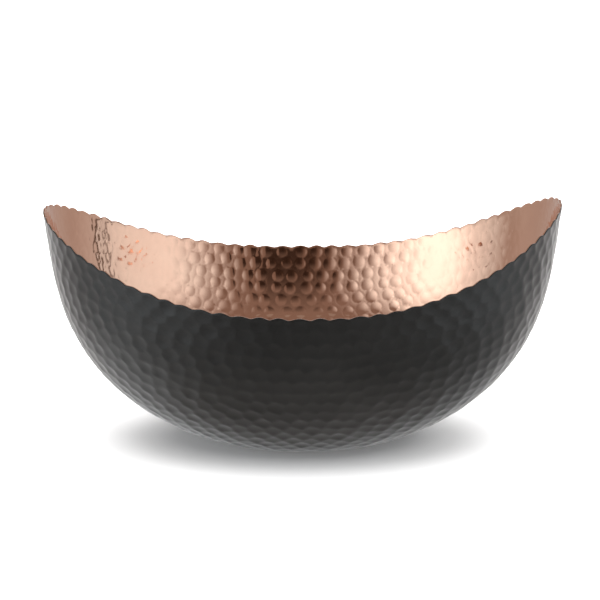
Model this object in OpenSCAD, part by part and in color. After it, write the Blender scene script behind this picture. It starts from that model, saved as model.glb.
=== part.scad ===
// Hammered boat bowl: a pressed sheet-metal bowl, lined with copper inside and
// coated black outside. Its rim sweeps up from the middle of each long side to
// a tip at each end. Millimetres, +Z up, origin at the centre of the flat base,
// +X towards the higher tip.

/* [Overall] */
// Length from tip to tip
bowl_l = 307; // [240:1:360]
// Width of the oval as a share of its length
plan_ratio = 0.8; // [0.6:0.01:1]
// Mean height of the two tips
tip_h = 141.5; // [120:0.5:160]
// Height of the rim at the middle of each long side
side_h = 96; // [70:0.5:115]
// How much higher the +X tip stands than the -X tip
tip_lift = 4.5; // [0:0.5:8]
// How far the tips flare beyond the wall's curve
rim_flare = 1.9; // [0:0.1:3]

/* [Wall curve] */
// Flat base as a share of the oval's size
base_share = 0.3; // [0.2:0.01:0.4]
// Height above the rim where the wall would stand upright
upright_h = 198; // [170:1:260]
// How tightly the base turns up into the wall
base_turn = 1.38; // [1.2:0.02:1.8]
// How full the wall is between the base and the rim
fullness = 4; // [2.6:0.1:4.6]
// How late along the side the rim climbs to the tips
rim_sweep = 2.5; // [2:0.1:3.4]

/* [Layers] */
// Thickness of the steel sheet
sheet_t = 1.0; // [0.8:0.1:1.6]
// Thickness of the copper lining
lining_t = 0.25; // [0.2:0.05:0.5]
// Thickness of the black coat
coat_t = 0.25; // [0.2:0.05:0.5]
// Share of the cut edge at the rim that the coat covers, from the outside
coat_share = 0.4; // [0.4:0.05:0.6]

/* [Mesh] */
// Points around the oval
around = 72; // [48:8:88]
// Rows of points from the base to the rim
rows = 14; // [10:1:16]

/* [Hidden] */

// depths below the outer surface, where one layer ends and the next begins
coat_in = coat_t;
sheet_in = coat_in + sheet_t;
lining_in = sheet_in + lining_t;
// where the coat and the copper meet on the cut edge
seam = coat_share * lining_in;

// the oval's full half sizes, reached at upright_h
half_l = (bowl_l / 2 - rim_flare) / wall_share(tip_h);
half_w = half_l * plan_ratio;

// how closely the flare keeps to the rim
flare_bend = 12;

// rows crowd towards the base, where the wall is nearly level
row_crowding = 1.6;
// a small step along the surface, for its slope
slope_step = 0.001;
// the sheet stops this share of the way up, under the turned edges of the two finishes
metal_top = 1 - coat_t / side_h;

// share of the full oval that the outer wall reaches at height z
function wall_share(z) =
    base_share + (1 - base_share)
    * pow(1 - pow(1 - z / upright_h, fullness), 1 / base_turn);

// height of the rim in the direction of the angle a
function rim_h(a) =
    let (tip = tip_h + sign(cos(a)) * tip_lift / 2)
    side_h + (tip - side_h) * pow(abs(cos(a)), rim_sweep);

// point of the outer surface in direction a, from the base edge (u = 0) to the rim (u = 1)
function outer_point(a, u) =
    let (z = rim_h(a) * pow(u, row_crowding))
    let (s = wall_share(z) + rim_flare / half_l * pow(u, flare_bend))
    [half_l * s * cos(a), half_w * s * sin(a), z];

// unit vector into the metal: straight up from the flat base, square to the wall above it
function inward(a, u) =
    let (e = slope_step)
    let (along = outer_point(a + 1, u) - outer_point(a - 1, u))
    let (up = outer_point(a, u + e) - outer_point(a, max(u - e, 0)))
    let (n = cross(up, along))
    u == 0 ? [0, 0, 1] : n / norm(n);

// all the points around the bowl at height share u, depth d below the outer surface
function ring(u, d) = [
    for (i = [0 : around - 1])
        let (a = 360 * i / around)
        outer_point(a, u) + d * inward(a, u)
];

// the rings of one skin, from the base edge to the top of the sheet
function skin(d) = [for (k = [0 : rows]) ring(min(k / rows, metal_top), d)];

// the rings of a face that goes on to the rim, without its last ring
function face(d) = [for (k = [0 : rows - 1]) ring(k / rows, d)];

function reversed(list) = [for (k = [len(list) - 1 : -1 : 0]) list[k]];

// closed solid through a stack of rings that climbs the outside, turns over
// at the top and comes down the inside; climb is the number of rings going up
module ring_stack(stack, climb) {
    last = len(stack) - 1;
    sides = [
        for (k = [0 : last - 1], i = [0 : around - 1])
            let (a = k * around + i, b = k * around + (i + 1) % around)
            let (c = a + around, d = b + around)
            each k < climb ? [[a, c, b], [b, c, d]] : [[a, c, d], [a, d, b]]
    ];
    floor_cap = [for (i = [0 : around - 1]) i];
    inside_cap = [for (i = [around - 1 : -1 : 0]) last * around + i];
    polyhedron([for (r = stack) each r], concat([floor_cap, inside_cap], sides));
}

module bowl_sheet() {
    top = [ring(metal_top, seam)];
    color([0.55, 0.56, 0.58])
        ring_stack(concat(skin(coat_in), top, reversed(skin(sheet_in))), rows + 1);
}

// the copper covers the whole inside and turns over the inner part of the cut edge
module copper_lining() {
    turned_edge = [ring(metal_top, seam), ring(1, seam), ring(1, lining_in)];
    color([0.80, 0.50, 0.36])
        ring_stack(concat(skin(sheet_in), turned_edge, reversed(face(lining_in))), rows + 2);
}

// the coat covers the whole outside and turns over the outer part of the cut edge
module black_coat() {
    turned_edge = [ring(1, 0), ring(1, seam), ring(metal_top, seam)];
    color([0.16, 0.16, 0.17])
        ring_stack(concat(face(0), turned_edge, reversed(skin(coat_in))), rows);
}

bowl_sheet();
copper_lining();
black_coat();
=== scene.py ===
import math

import bpy
import numpy as np
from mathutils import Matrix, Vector
from mathutils.geometry import delaunay_2d_cdt


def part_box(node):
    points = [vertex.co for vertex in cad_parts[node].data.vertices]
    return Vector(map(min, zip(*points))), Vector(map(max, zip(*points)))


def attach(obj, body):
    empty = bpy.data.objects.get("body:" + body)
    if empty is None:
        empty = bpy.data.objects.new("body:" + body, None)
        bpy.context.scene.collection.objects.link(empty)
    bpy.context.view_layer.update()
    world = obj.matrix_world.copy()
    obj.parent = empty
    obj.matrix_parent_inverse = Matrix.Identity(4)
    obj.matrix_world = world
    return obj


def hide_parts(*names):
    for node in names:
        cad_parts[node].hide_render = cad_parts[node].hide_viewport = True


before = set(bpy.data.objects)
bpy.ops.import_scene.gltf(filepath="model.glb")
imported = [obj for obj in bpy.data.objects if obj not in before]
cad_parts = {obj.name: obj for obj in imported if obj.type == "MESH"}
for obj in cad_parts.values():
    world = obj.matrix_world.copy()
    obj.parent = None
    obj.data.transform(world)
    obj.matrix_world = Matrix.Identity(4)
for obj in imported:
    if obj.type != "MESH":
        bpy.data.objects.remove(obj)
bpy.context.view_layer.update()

# ---------------------------------------------------------------------------
# The smooth wall, with the same curve as the CAD solids. Metres and radians.
# ---------------------------------------------------------------------------
SIDE_H = 0.096  # rim height at the middle of each long side
TIP_LIFT = 0.0045  # how much higher the +X tip stands
BASE_SHARE = 0.3  # flat base as a share of the full oval
UPRIGHT_H = 0.198  # height where the wall would stand upright
BASE_TURN = 1.38  # how tightly the base turns up into the wall
FULLNESS = 4.0  # how full the wall is between the base and the rim
RIM_SWEEP = 2.5  # how late along the side the rim climbs to the tips
ROW_CROWDING = 1.6  # how far rings of points crowd towards the base
RIM_FLARE = 0.0019  # how far the tips flare beyond the wall's curve
FLARE_BEND = 12  # how closely the flare keeps to the rim

COAT_T = 0.00025
SHEET_T = 0.001
LINING_T = 0.00025
SHEET_IN = COAT_T + SHEET_T  # depth where the lining begins
LINING_IN = SHEET_IN + LINING_T  # depth of the copper's face


def wall_share(z):
    """Share of the full oval that the outer wall reaches at height z."""
    climbed = 1 - (1 - np.clip(z, 0, UPRIGHT_H) / UPRIGHT_H) ** FULLNESS
    return BASE_SHARE + (1 - BASE_SHARE) * climbed ** (1 / BASE_TURN)


coat_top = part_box("black_coat")[1]
TIP_H = coat_top.z - TIP_LIFT / 2
HALF_L = (coat_top.x - RIM_FLARE) / float(wall_share(coat_top.z))
HALF_W = coat_top.y / float(wall_share(SIDE_H) + RIM_FLARE / HALF_L)


def rim_height(angle):
    tip = TIP_H + np.sign(np.cos(angle)) * TIP_LIFT / 2
    return SIDE_H + (tip - SIDE_H) * np.abs(np.cos(angle)) ** RIM_SWEEP


def outer_point(angle, climb):
    """Point of the smooth outer surface. climb is -1 at the centre of the
    base, 0 at the edge of the base and 1 at the rim."""
    angle, climb = np.broadcast_arrays(angle, climb)
    up = np.clip(climb, 0, None)
    z = rim_height(angle) * up ** ROW_CROWDING
    wall = wall_share(z) + RIM_FLARE / HALF_L * up ** FLARE_BEND
    share = np.where(climb < 0, BASE_SHARE * (1 + climb), wall)
    x = HALF_L * share * np.cos(angle)
    y = HALF_W * share * np.sin(angle)
    return np.stack([x, y, z], axis=-1)


def slopes(angle, climb, step=1e-4):
    """Changes of outer_point with the angle and with the climb."""
    along = outer_point(angle + step, climb) - outer_point(angle - step, climb)
    up = outer_point(angle, climb + step) - outer_point(angle, climb - step)
    return along / (2 * step), up / (2 * step)


def inward(angle, climb):
    """Unit vector into the metal, square to the smooth surface."""
    angle, climb = np.broadcast_arrays(angle, climb)
    along, up = slopes(angle, climb)
    normal = np.cross(up, along)
    length = np.linalg.norm(normal, axis=-1, keepdims=True)
    normal = normal / np.maximum(length, 1e-12)
    return np.where(climb[..., None] > 0, normal, [0.0, 0.0, 1.0])


def path_lengths(points):
    """Distance along a path of points, from its first point to each one."""
    steps = np.linalg.norm(np.diff(points, axis=0), axis=1)
    return np.concatenate([[0.0], np.cumsum(steps)])


# ---------------------------------------------------------------------------
# Hammer marks: one row of blows under the rim, rows that follow it, level
# rows lower down, and rings on the base
# ---------------------------------------------------------------------------
SCALLOPS = 83
SCALLOP_RISE = 0.0012  # from the notches to the tops
FIRST_DROP = 0.0036  # of the top row below the rim
ROW_GAP = 0.0080
MARK_PITCH = 0.0102
RIM_ROWS = 7  # rows that follow the rim
MARK_JITTER = 0.0007
RELAX_STEPS = 12
CROWDED = 1.25  # marks nearer than this many pitches push each other apart
SHOVE = 0.35  # the strength of that push
PIT_R = 0.0042  # the crisp round dents inside
PIT_D = 0.00030
TIP_EASE = 0.72  # share by which the blows inside are lighter near the tips
EASE_FROM, EASE_TO = 0.055, 0.095  # where they get lighter, along X
LIP_H = 0.00006  # the raised lip round each dent inside
LIP_W = 0.0005
DENT_R = 0.0056  # the broad dents outside, which meet
DENT_D = 0.00045
DENT_SOFTNESS = 3.5e6  # larger makes the ridges between them sharper

rng = np.random.default_rng(83)
TURN = np.linspace(0, 2 * math.pi, 721)
CLIMBS = np.linspace(0, 1, 401)


def climb_below_rim(angle, drop):
    """Climb at a distance down the wall from the rim."""
    run = path_lengths(outer_point(angle, CLIMBS))
    return np.interp(run[-1] - drop, run, CLIMBS)


def climb_at_height(angle, z):
    return (z / rim_height(angle)) ** (1 / ROW_CROWDING)


def row_of_marks(climb_at, phase, count=None):
    """Evenly spaced (angle, climb) round the bowl, where climb_at(angle)
    is the row's climb, in mark pitches, or count of them."""
    climbs = np.array([climb_at(a) for a in TURN])
    run = path_lengths(outer_point(TURN, climbs))
    count = count or round(run[-1] / MARK_PITCH)
    places = (np.arange(count) + phase) / count * run[-1]
    angles = np.interp(places, run, TURN)
    return np.stack([angles, np.interp(angles, TURN, climbs)], axis=1)


def rim_rows():
    """Rows that follow the rim. The top row has one mark under each scallop."""
    rows = []
    for k in range(RIM_ROWS):
        drop = FIRST_DROP + k * ROW_GAP
        count = SCALLOPS if k == 0 else None
        rows.append(row_of_marks(lambda a: climb_below_rim(a, drop), k % 2 / 2, count))
    return rows


def level_rows():
    """Rows parallel to the base, as far up as the rows that follow the rim."""
    last_drop = FIRST_DROP + (RIM_ROWS - 0.4) * ROW_GAP
    tip_run = path_lengths(outer_point(0.0, CLIMBS))
    rows = []
    for k in range(int(tip_run[-1] / ROW_GAP)):
        tip_climb = np.interp((k + 0.5) * ROW_GAP, tip_run, CLIMBS)
        z = outer_point(0.0, tip_climb)[2]
        row = row_of_marks(lambda a: min(climb_at_height(a, z), 1.0), k % 2 / 2)
        highest = np.array([climb_below_rim(a, last_drop) for a in row[:, 0]])
        rows.append(row[row[:, 1] < highest])
    return [row for row in rows if len(row)]


def base_rows():
    """Rings of marks on the flat base."""
    rings = int(outer_point(0.0, 0.0)[0] / ROW_GAP)
    return [row_of_marks(lambda a: -(k + 0.5) / rings, k % 2 / 2) for k in range(rings)]


def relax(marks, moving):
    """Pushes crowded marks apart along the surface."""
    reach = CROWDED * MARK_PITCH
    for _ in range(RELAX_STEPS):
        places = outer_point(marks[:, 0], marks[:, 1])
        gaps = places[:, None] - places[None]
        far = np.linalg.norm(gaps, axis=2)
        np.fill_diagonal(far, reach)
        push = np.clip(1 - far / reach, 0, None) / np.maximum(far, 1e-6)
        shove = SHOVE * reach * np.einsum("ij,ijk->ik", push, gaps)
        along, up = slopes(marks[:, 0], marks[:, 1])
        aa, uu, au = (np.sum(p * q, axis=1) for p, q in ((along, along), (up, up), (along, up)))
        sa, su = (np.sum(shove * p, axis=1) for p in (along, up))
        det = aa * uu - au * au
        turn = (sa * uu - su * au) / det
        lift = (su * aa - sa * au) / det
        marks[moving, 0] += turn[moving]
        marks[moving, 1] += lift[moving]
        marks[moving, 1] = np.clip(marks[moving, 1], 0.0005, None)
    return marks


def make_marks():
    """All the marks' (angle, climb). The first SCALLOPS of them are the top row."""
    rows = rim_rows() + level_rows()
    wall = np.concatenate(rows)
    base = np.concatenate(base_rows())
    marks = np.concatenate([wall, base])
    moving = np.zeros(len(marks), bool)
    moving[SCALLOPS:len(wall)] = True
    along, up = slopes(marks[:, 0], marks[:, 1])
    stray = rng.normal(0, MARK_JITTER, (len(marks), 2))
    marks[:, 0] += stray[:, 0] / np.maximum(np.linalg.norm(along, axis=1), 0.01)
    marks[moving, 1] += (stray[:, 1] / np.linalg.norm(up, axis=1))[moving]
    return relax(marks, moving)


marks = make_marks()
mark_places = outer_point(marks[:, 0], marks[:, 1])
pit_radii = PIT_R * rng.uniform(0.86, 1.08, len(marks))
pit_depths = PIT_D * rng.uniform(0.8, 1.2, len(marks))
pit_depths *= 1 - TIP_EASE * np.interp(np.abs(mark_places[:, 0]), [EASE_FROM, EASE_TO], [0, 1])
dent_depths = DENT_D * rng.uniform(0.65, 1.3, len(marks))
scallop_sizes = rng.uniform(0.7, 1.25, SCALLOPS)


def in_chunks(work, points, size=4096):
    """work(points) in pieces that fit in memory."""
    return np.concatenate([work(points[i:i + size]) for i in range(0, len(points), size)])


def square_distances(points):
    """Squared distances from the points to all the marks, as an array."""
    cross = points @ mark_places.T
    squares = np.sum(points ** 2, axis=1)[:, None] + np.sum(mark_places ** 2, axis=1)
    return np.maximum(squares - 2 * cross, 0)


def nearest_dent(points):
    """Number of the dent inside whose edge is nearest, or reaches furthest past a point."""
    return (np.sqrt(square_distances(points)) - pit_radii).argmin(axis=1)


def pit_depth(points):
    """Depth of the crisp round dents inside, below the tops of their lips."""
    def work(some):
        squares = square_distances(some)
        pit = pit_depths * np.clip(1 - squares / pit_radii ** 2, 0, None)
        beyond = (np.sqrt(squares) - pit_radii).min(axis=1)
        land = LIP_H * (1 - np.exp(-np.clip(beyond, 0, None) / LIP_W))
        return pit.max(axis=1) + land
    return in_chunks(work, points)


def dent_depth(points):
    """Depth of the shallow dents outside. They meet in soft ridges."""
    def work(some):
        far = square_distances(some)
        nearest = far.min(axis=1)
        weight = np.exp(-DENT_SOFTNESS * (far - nearest[:, None]))
        total = weight.sum(axis=1)
        blend = nearest - np.log(total) / DENT_SOFTNESS
        depth = (weight @ dent_depths) / total
        return depth * np.clip(1 - np.clip(blend, 0, None) / DENT_R ** 2, 0, 1)
    return in_chunks(work, points)


def scallop(angle):
    """How far the rim stands above or below its smooth line at an angle."""
    centres = np.sort(np.mod(marks[:SCALLOPS, 0], 2 * math.pi))
    ring = np.concatenate([centres[-1:] - 2 * math.pi, centres, centres[:1] + 2 * math.pi])
    notches = (ring[1:] + ring[:-1]) / 2
    angle = np.mod(angle - notches[0], 2 * math.pi) + notches[0]
    k = np.clip(np.searchsorted(notches, angle, side="right") - 1, 0, SCALLOPS - 1)
    middle = (notches[k] + notches[k + 1]) / 2
    off = (angle - middle) / (notches[k + 1] - notches[k]) * 2
    crown = (1 - off ** 2) / 2 + (1 + np.cos(math.pi * off)) / 4
    return SCALLOP_RISE * (scallop_sizes[k] * crown - 0.5)


# ---------------------------------------------------------------------------
# Meshes: each piece is a closed shell made of rings, from the middle of its
# inner face, up over the rim and down to the middle of its outer face. The
# copper's face is a net of triangles drawn round its dents instead of rings.
# ---------------------------------------------------------------------------
FADE_H = 0.006  # the scallops fade out this far below the rim
FINE = 0.00112  # spacing of points along the copper's rim
MEDIUM = 0.0013  # on the outside
COARSE = 0.0032  # on faces that nothing shows
EDGE = 0.0007  # round the rim
# circles of points round each dent inside, as (share of its radius, points)
PIT_CIRCLES = [(0.45, 6), (0.8, 11), (0.95, 14), (1.07, 14), (1.27, 12)]


def even_climbs(spacing, top=1.0):
    """Climbs of rings about spacing apart, from the middle of the base to the top."""
    angle = math.radians(50)  # about halfway between a side and a tip
    fine = np.linspace(-1, top, 3001)
    run = path_lengths(outer_point(angle, fine))
    count = round(run[-1] / spacing)
    return np.interp(np.linspace(0, run[-1], count + 1), run, fine)


def with_scallops(angle, climb, drop=0.0):
    """Smooth points and normals, with the rim's scallops faded in near the
    top. drop lowers the points along the wall."""
    rim_run = np.linalg.norm(slopes(angle, 1.0)[1], axis=1)
    fade = np.clip(1 - (1 - climb) * rim_run / FADE_H, 0, 1)
    climb = climb + (scallop(angle) * fade ** 1.5 - drop) / rim_run
    return outer_point(angle, climb), inward(angle, climb)


def ring_angles(climb, spacing):
    """Even angles of a ring of points about spacing apart."""
    around = path_lengths(outer_point(TURN, climb))[-1]
    count = max(round(around / spacing), 1)
    return np.arange(count) * 2 * math.pi / count


def zipped(first_a, n, first_b, m):
    """Triangles between two closed rings of n and m points."""
    turns = np.concatenate([(np.arange(n) + 0.5) / n, (np.arange(m) + 0.5) / m])
    order = np.argsort(turns, kind="stable")
    on_a = order < n
    i = np.cumsum(on_a) - on_a
    j = np.cumsum(~on_a) - ~on_a
    third = np.where(on_a, first_a + (i + 1) % n, first_b + (j + 1) % m)
    faces = np.stack([first_a + i % n, first_b + j % m, third], axis=1)
    proper = (faces[:, 0] != faces[:, 2]) & (faces[:, 1] != faces[:, 2])
    return faces[proper]


def skin(climbs, spacing, depth):
    """Rings of one face of a layer. depth gives the depth at smooth points."""
    rings = [with_scallops(ring_angles(c, spacing), c) for c in climbs]
    smooth = np.concatenate([r[0] for r in rings])
    normals = np.concatenate([r[1] for r in rings])
    points = smooth + depth(smooth)[:, None] * normals
    cuts = np.cumsum([len(r[0]) for r in rings])[:-1]
    return np.split(points, cuts)


def shell(name, rings, net=None):
    """Closed smooth mesh through a list of rings. A net of (points, faces)
    may fill the first ring, whose points come first in it."""
    counts = [len(r) for r in rings]
    firsts = np.concatenate([[0], np.cumsum(counts)[:-1]])
    points = np.concatenate(rings)
    faces = np.concatenate([
        zipped(firsts[k], counts[k], firsts[k + 1], counts[k + 1])
        for k in range(len(rings) - 1)
    ])
    if net:
        net_points, net_faces = net
        shift = len(points) - counts[0]
        net_faces = np.where(net_faces < counts[0], net_faces, net_faces + shift)
        points = np.concatenate([points, net_points[counts[0]:]])
        faces = np.concatenate([faces, net_faces])
    mesh = bpy.data.meshes.new(name)
    mesh.from_pydata(points.tolist(), [], faces.tolist())
    mesh.polygons.foreach_set("use_smooth", [True] * len(mesh.polygons))
    mesh.update()
    piece = bpy.data.objects.new(name, mesh)
    bpy.context.collection.objects.link(piece)
    return piece


METAL_TOP = 1 - COAT_T / SIDE_H  # climb where the sheet stops, under the turned edges


def copper_face(points):
    return LINING_IN - pit_depth(points)


def sheet_inside(points):
    return SHEET_IN - pit_depth(points)


def sheet_outside(points):
    return COAT_T + dent_depth(points)


def circles_round_marks():
    """(angle, climb) of points round every mark, close together at the edge
    of its dent. A point nearer to another mark's dent is left out."""
    along, up = (np.linalg.norm(slope, axis=1) for slope in slopes(marks[:, 0], marks[:, 1]))
    places = [marks]
    owners = [np.arange(len(marks))]
    for share, count in PIT_CIRCLES:
        turn = np.arange(count) * 2 * math.pi / count
        out = share * pit_radii[:, None]
        angles = marks[:, :1] + out * np.cos(turn) / along[:, None]
        climbs = marks[:, 1:] + out * np.sin(turn) / up[:, None]
        places.append(np.stack([angles, climbs], axis=-1).reshape(-1, 2))
        owners.append(np.repeat(np.arange(len(marks)), count))
    places = np.concatenate(places)
    points = outer_point(places[:, 0], places[:, 1])
    nearest = in_chunks(nearest_dent, points)
    return places[nearest == np.concatenate(owners)]


def laid_flat(angle, climb, steps=40):
    """The wall unrolled round the middle of the base, true to length along each radius."""
    base = np.linalg.norm(outer_point(angle, np.minimum(climb, 0)), axis=1)
    climbs = np.linspace(0, 1, steps + 1)[:, None] * np.maximum(climb, 0)
    path = outer_point(angle, climbs)
    radius = base + np.linalg.norm(np.diff(path, axis=0), axis=2).sum(axis=0)
    return np.stack([radius * np.cos(angle), radius * np.sin(angle)], axis=1)


def edge_rings(profile):
    """Rings along the cut edge at the rim. A profile has (share of the way
    through from the outside, distance below the rim in coat thicknesses)."""
    rings = []
    for across, down in profile:
        smooth, normal = with_scallops(ring_angles(1.0, EDGE), 1.0, down * COAT_T)
        outside = dent_depth(smooth)
        inside = copper_face(smooth)
        depth = outside + across * (inside - outside)
        rings.append(smooth + depth[:, None] * normal)
    return rings


# where the two finishes meet on the cut edge, as a share from the outside
SEAM = 0.4
COPPER_EDGE = [(0.90, 0.35), (0.72, 0.06), (SEAM, 0.0), (SEAM, 1.0)]
COAT_EDGE = [(SEAM, 1.0), (SEAM, 0.0), (0.28, 0.06), (0.10, 0.35)]


def make_lining():
    """The copper's face is a net drawn round the dents, on a plain back."""
    rim_angles = ring_angles(METAL_TOP, FINE)
    count = len(rim_angles)
    rim = np.stack([rim_angles, np.full(count, METAL_TOP)], axis=1)
    inner = circles_round_marks()
    rim_gap = 0.6 * FINE / SIDE_H  # keeps the net's points off the ring at the rim
    inner = inner[(inner[:, 1] > -1) & (inner[:, 1] < METAL_TOP - rim_gap)]
    angle, climb = np.concatenate([rim, inner]).T
    flat = [Vector(p) for p in laid_flat(angle, climb).tolist()]
    edges = [(k, (k + 1) % count) for k in range(count)]
    inside = 1
    _, _, faces, origins, _, _ = delaunay_2d_cdt(flat, edges, [], inside, 1e-7)
    faces = np.array([[origins[v][0] for v in face] for face in faces])
    smooth, normals = with_scallops(angle, climb)
    face = smooth + copper_face(smooth)[:, None] * normals
    back = skin(even_climbs(COARSE, METAL_TOP), COARSE, sheet_inside)
    rings = [face[:count]] + edge_rings(COPPER_EDGE) + back[::-1]
    return shell("hammered_copper_lining", rings, (face, faces))


def make_sheet():
    inside = skin(even_climbs(2 * MEDIUM, METAL_TOP), 2 * MEDIUM, sheet_inside)
    outside = skin(even_climbs(2 * MEDIUM, METAL_TOP), 2 * MEDIUM, sheet_outside)
    return shell("hammered_steel_sheet", inside + outside[::-1])


def make_coat():
    back = skin(even_climbs(COARSE, METAL_TOP), COARSE, sheet_outside)
    face = skin(even_climbs(MEDIUM, METAL_TOP), MEDIUM, dent_depth)
    return shell("hammered_black_coat", back + edge_rings(COAT_EDGE) + face[::-1])


# ---------------------------------------------------------------------------
# Materials
# ---------------------------------------------------------------------------
def new_material(name):
    material = bpy.data.materials.new(name)
    material.use_nodes = True
    tree = material.node_tree
    shader = tree.nodes["Principled BSDF"]
    return material, tree, shader


def noise(tree, scale, detail=4.0, rough=0.55):
    """Cloudy noise in the object's own space. scale is per metre."""
    node = tree.nodes.new("ShaderNodeTexNoise")
    node.inputs["Scale"].default_value = scale
    node.inputs["Detail"].default_value = detail
    node.inputs["Roughness"].default_value = rough
    place = tree.nodes.new("ShaderNodeTexCoord")
    tree.links.new(place.outputs["Object"], node.inputs["Vector"])
    return node.outputs["Fac"]


def spread(tree, value, low, high, start=0.3, end=0.7):
    """Maps a value between start and end onto low to high."""
    node = tree.nodes.new("ShaderNodeMapRange")
    node.inputs["From Min"].default_value = start
    node.inputs["From Max"].default_value = end
    node.inputs["To Min"].default_value = low
    node.inputs["To Max"].default_value = high
    tree.links.new(value, node.inputs["Value"])
    return node.outputs["Result"]


def blend_colours(tree, value, first, second, start=0.3, end=0.7):
    """Blends two colours as a value goes from start to end."""
    node = tree.nodes.new("ShaderNodeValToRGB")
    node.color_ramp.elements[0].position = start
    node.color_ramp.elements[0].color = (*first, 1)
    node.color_ramp.elements[1].position = end
    node.color_ramp.elements[1].color = (*second, 1)
    tree.links.new(value, node.inputs["Fac"])
    return node.outputs["Color"]


def bump(tree, shader, height, distance, strength=1.0):
    node = tree.nodes.new("ShaderNodeBump")
    node.inputs["Strength"].default_value = strength
    node.inputs["Distance"].default_value = distance
    tree.links.new(height, node.inputs["Height"])
    tree.links.new(node.outputs["Normal"], shader.inputs["Normal"])


def copper_material():
    """Polished copper: faint cloudy tarnish, buffing haze and a fine grain."""
    material, tree, shader = new_material("polished_copper")
    shader.inputs["Metallic"].default_value = 1.0
    cloud = noise(tree, 28, 5)
    colour = blend_colours(tree, cloud, (0.90, 0.535, 0.39), (0.95, 0.60, 0.44))
    tree.links.new(colour, shader.inputs["Base Color"])
    tree.links.new(spread(tree, noise(tree, 160, 6), 0.05, 0.09), shader.inputs["Roughness"])
    bump(tree, shader, noise(tree, 900, 3), 0.00002, 0.35)
    return material


def coat_material():
    """Satin black coat with a fine grain, slightly uneven gloss and a pale sheen at its edges."""
    material, tree, shader = new_material("satin_black_coat")
    shader.inputs["Specular IOR Level"].default_value = 0.42
    shader.inputs["Sheen Weight"].default_value = 0.85
    shader.inputs["Sheen Roughness"].default_value = 0.30
    cloud = noise(tree, 22, 5)
    colour = blend_colours(tree, cloud, (0.0090, 0.0086, 0.0081), (0.0135, 0.0128, 0.0120))
    tree.links.new(colour, shader.inputs["Base Color"])
    tree.links.new(spread(tree, noise(tree, 120, 6), 0.30, 0.38), shader.inputs["Roughness"])
    bump(tree, shader, noise(tree, 1600, 3), 0.00004, 0.4)
    return material


def steel_material():
    """Plain steel sheet under the coat and the lining."""
    material, tree, shader = new_material("steel_sheet")
    shader.inputs["Metallic"].default_value = 1.0
    cloud = noise(tree, 60, 5)
    colour = blend_colours(tree, cloud, (0.50, 0.51, 0.52), (0.60, 0.61, 0.62))
    tree.links.new(colour, shader.inputs["Base Color"])
    tree.links.new(spread(tree, noise(tree, 300, 5), 0.28, 0.42), shader.inputs["Roughness"])
    bump(tree, shader, noise(tree, 1200, 3), 0.00003, 0.4)
    return material


# ---------------------------------------------------------------------------
# The pieces
# ---------------------------------------------------------------------------
def finish_piece(piece, material, node):
    piece.data.materials.append(material)
    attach(piece, "root")
    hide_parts(node)


finish_piece(make_lining(), copper_material(), "copper_lining")
finish_piece(make_sheet(), steel_material(), "bowl_sheet")
finish_piece(make_coat(), coat_material(), "black_coat")

# ---------------------------------------------------------------------------
# Studio. Azimuths are measured from the camera's side, towards +X.
# ---------------------------------------------------------------------------
TENT_R = 2.0
TENT_H = 2.8
TENT_PEAK = 2.4  # scales the brightnesses, so that colours stay under 1
# Brightness of the tent by azimuth. It is dark where the camera looks in, and two
# narrow dark seams near 100 degrees draw fine lines in the copper.
TENT = [
    (-180, 0.50), (-137, 0.42), (-119, 0.44), (-108, 0.38), (-95, 0.62), (-80, 1.00), (-70, 1.50),
    (-62, 1.66), (-54, 1.62), (-47, 1.32), (-37, 1.05), (-24, 0.52), (-12, 0.18), (-3, 0.05),
    (5, 0.03), (17.5, 0.04), (19, 0.19), (26, 0.22), (40, 0.54), (50, 0.84), (60, 1.02), (86, 0.88),
    (97, 0.74), (97.6, 0.08), (99.5, 0.08), (100, 0.68), (104.5, 0.66), (105, 0.08),
    (107, 0.08), (107.6, 0.54), (130, 0.42), (180, 0.50),
]
# the same far below the floor, where only reflections see it
LOW_TENT = [
    (-180, 0.06), (-150, 0.40), (-110, 1.10), (-75, 0.40), (-30, 0.03), (30, 0.03), (75, 0.08),
    (110, 0.28), (150, 0.20), (180, 0.06),
]
WARM = (1, 0.60, 0.42)  # tint of the tent's dim parts
COOL = (0.97, 1.05, 1.10)  # tint of its bright parts
TINTED_BELOW = 0.65
TOP_LEVEL = 0.24  # of the tent's top, all round
TOP_FROM, TOP_FULL = 0.9, 2.1  # heights between which the tent turns to its top level
LOW_FULL, LOW_FROM = -1.3, -0.7  # and to its low levels


def tinted(level):
    """Light of a brightness, warmer where it is dim."""
    share = min(level / TINTED_BELOW, 1)
    return tuple(level / TENT_PEAK * (w + (c - w) * share) for w, c in zip(WARM, COOL))


def grey(level):
    """Light of a brightness, with no tint."""
    return (level / TENT_PEAK,) * 3


def ramp_round(tree, turn, stops, tint):
    """Colours by azimuth. turn goes from 0 to 1 for azimuths from -180 to 180 degrees."""
    ramp = tree.nodes.new("ShaderNodeValToRGB")
    elements = ramp.color_ramp.elements
    for k, (degrees, level) in enumerate(stops):
        element = elements[k] if k < 2 else elements.new(degrees / 360 + 0.5)
        element.position = degrees / 360 + 0.5
        element.color = (*tint(level), 1)
    tree.links.new(turn, ramp.inputs["Fac"])
    return ramp.outputs["Color"]


def mixed(tree, share, first, second):
    """Blends two colours. Each is another node's output, or a plain colour."""
    node = tree.nodes.new("ShaderNodeMix")
    node.data_type = "RGBA"
    tree.links.new(share, node.inputs[0])
    for colour, place in ((first, 6), (second, 7)):
        if isinstance(colour, tuple):
            node.inputs[place].default_value = colour
        else:
            tree.links.new(colour, node.inputs[place])
    return node.outputs[2]


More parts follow.
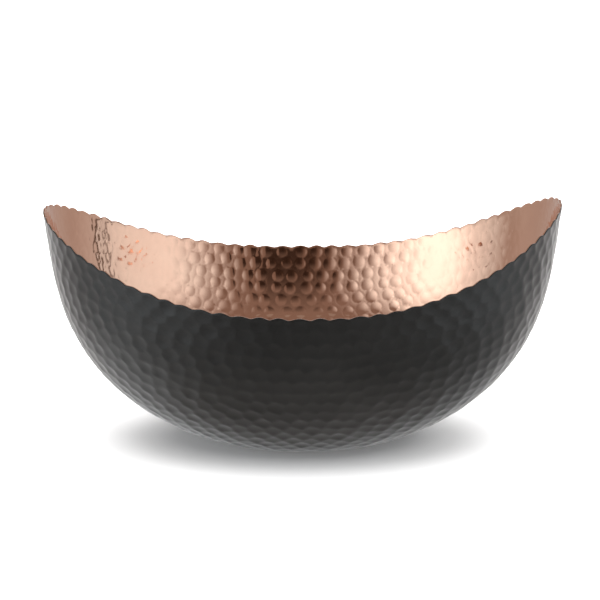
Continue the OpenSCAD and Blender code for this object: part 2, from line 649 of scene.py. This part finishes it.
def tent_material():
    """Light that changes with the azimuth and the height."""
    material = bpy.data.materials.new("light_tent")
    material.use_nodes = True
    tree = material.node_tree
    tree.nodes.clear()
    place = tree.nodes.new("ShaderNodeTexCoord")
    apart = tree.nodes.new("ShaderNodeSeparateXYZ")
    tree.links.new(place.outputs["Object"], apart.inputs[0])
    ahead = tree.nodes.new("ShaderNodeMath")
    ahead.operation = "MULTIPLY"
    ahead.inputs[1].default_value = -1
    tree.links.new(apart.outputs["Y"], ahead.inputs[0])
    azimuth = tree.nodes.new("ShaderNodeMath")
    azimuth.operation = "ARCTAN2"
    tree.links.new(apart.outputs["X"], azimuth.inputs[0])
    tree.links.new(ahead.outputs[0], azimuth.inputs[1])
    turn = spread(tree, azimuth.outputs[0], 0, 1, -math.pi, math.pi)
    height = apart.outputs["Z"]
    side = ramp_round(tree, turn, TENT, tinted)
    top = (*tinted(TOP_LEVEL), 1)
    low = ramp_round(tree, turn, LOW_TENT, grey)
    upper = mixed(tree, spread(tree, height, 0, 1, TOP_FROM, TOP_FULL), side, top)
    light = mixed(tree, spread(tree, height, 1, 0, LOW_FULL, LOW_FROM), upper, low)
    glow = tree.nodes.new("ShaderNodeEmission")
    tree.links.new(light, glow.inputs["Color"])
    glow.inputs["Strength"].default_value = TENT_PEAK
    out = tree.nodes.new("ShaderNodeOutputMaterial")
    tree.links.new(glow.outputs[0], out.inputs["Surface"])
    return material


def add_tent():
    """Round light tent. Only its light and its reflection show. It goes on
    below the floor, because reflections see it there in place of the floor."""
    around = 96
    angles = np.arange(around) * 2 * math.pi / around
    ring = np.stack([np.cos(angles), np.sin(angles)], axis=1) * TENT_R
    points = [(x, y, z) for z in (-TENT_H, TENT_H) for x, y in ring]
    faces = [(k, (k + 1) % around, around + (k + 1) % around, around + k) for k in range(around)]
    mesh = bpy.data.meshes.new("light_tent")
    mesh.from_pydata(points, [], faces)
    mesh.materials.append(tent_material())
    tent = bpy.data.objects.new("light_tent", mesh)
    tent.visible_camera = False
    tent.visible_shadow = False
    bpy.context.collection.objects.link(tent)


def add_world():
    """Plain dim light from above the tent."""
    world = bpy.data.worlds.new("studio")
    world.use_nodes = True
    sky = world.node_tree.nodes["Background"]
    sky.inputs["Color"].default_value = (1, 0.9, 0.84, 1)
    sky.inputs["Strength"].default_value = 0.3
    bpy.context.scene.world = world


def add_floor():
    """Pale floor that catches the shadow. Reflections see the tent in its place."""
    mesh = bpy.data.meshes.new("floor")
    half = 12.0
    mesh.from_pydata([(-half, -half, 0), (half, -half, 0), (half, half, 0), (-half, half, 0)],
                     [], [(0, 1, 2, 3)])
    material, _, shader = new_material("pale_floor")
    shader.inputs["Base Color"].default_value = (0.86, 0.86, 0.86, 1)
    shader.inputs["Roughness"].default_value = 0.9
    shader.inputs["Specular IOR Level"].default_value = 0.0
    shader.inputs["Emission Color"].default_value = (1, 1, 1, 1)
    shader.inputs["Emission Strength"].default_value = 0.14
    mesh.materials.append(material)
    floor = bpy.data.objects.new("floor", mesh)
    floor.visible_glossy = False
    bpy.context.collection.objects.link(floor)
    return floor


def add_floor_light(floor):
    """Wide overhead light for the floor alone, so that the bowl's shadow is soft."""
    data = bpy.data.lights.new("floor_light", "SUN")
    data.energy = 10.0
    data.angle = math.radians(110)
    light = bpy.data.objects.new("floor_light", data)
    light.rotation_euler = (0, math.radians(5), 0)
    bpy.context.collection.objects.link(light)
    lit = bpy.data.collections.new("lit_by_floor_light")
    lit.objects.link(floor)
    light.light_linking.receiver_collection = lit


def add_camera():
    """Long lens, a little above the rim, square to the bowl's long side."""
    elevation = math.radians(11.24)
    distance = 1.151
    target = Vector((-0.0014, 0, 0.0837))
    back = Vector((0, -math.cos(elevation), math.sin(elevation)))
    data = bpy.data.cameras.new("camera")
    data.lens = 115.2
    data.clip_end = 60
    camera = bpy.data.objects.new("camera", data)
    camera.location = target + distance * back
    camera.rotation_euler = back.to_track_quat("Z", "Y").to_euler()
    bpy.context.collection.objects.link(camera)
    bpy.context.scene.camera = camera


add_world()
add_floor_light(add_floor())
add_tent()
add_camera()
bpy.context.scene.view_settings.view_transform = "Standard"
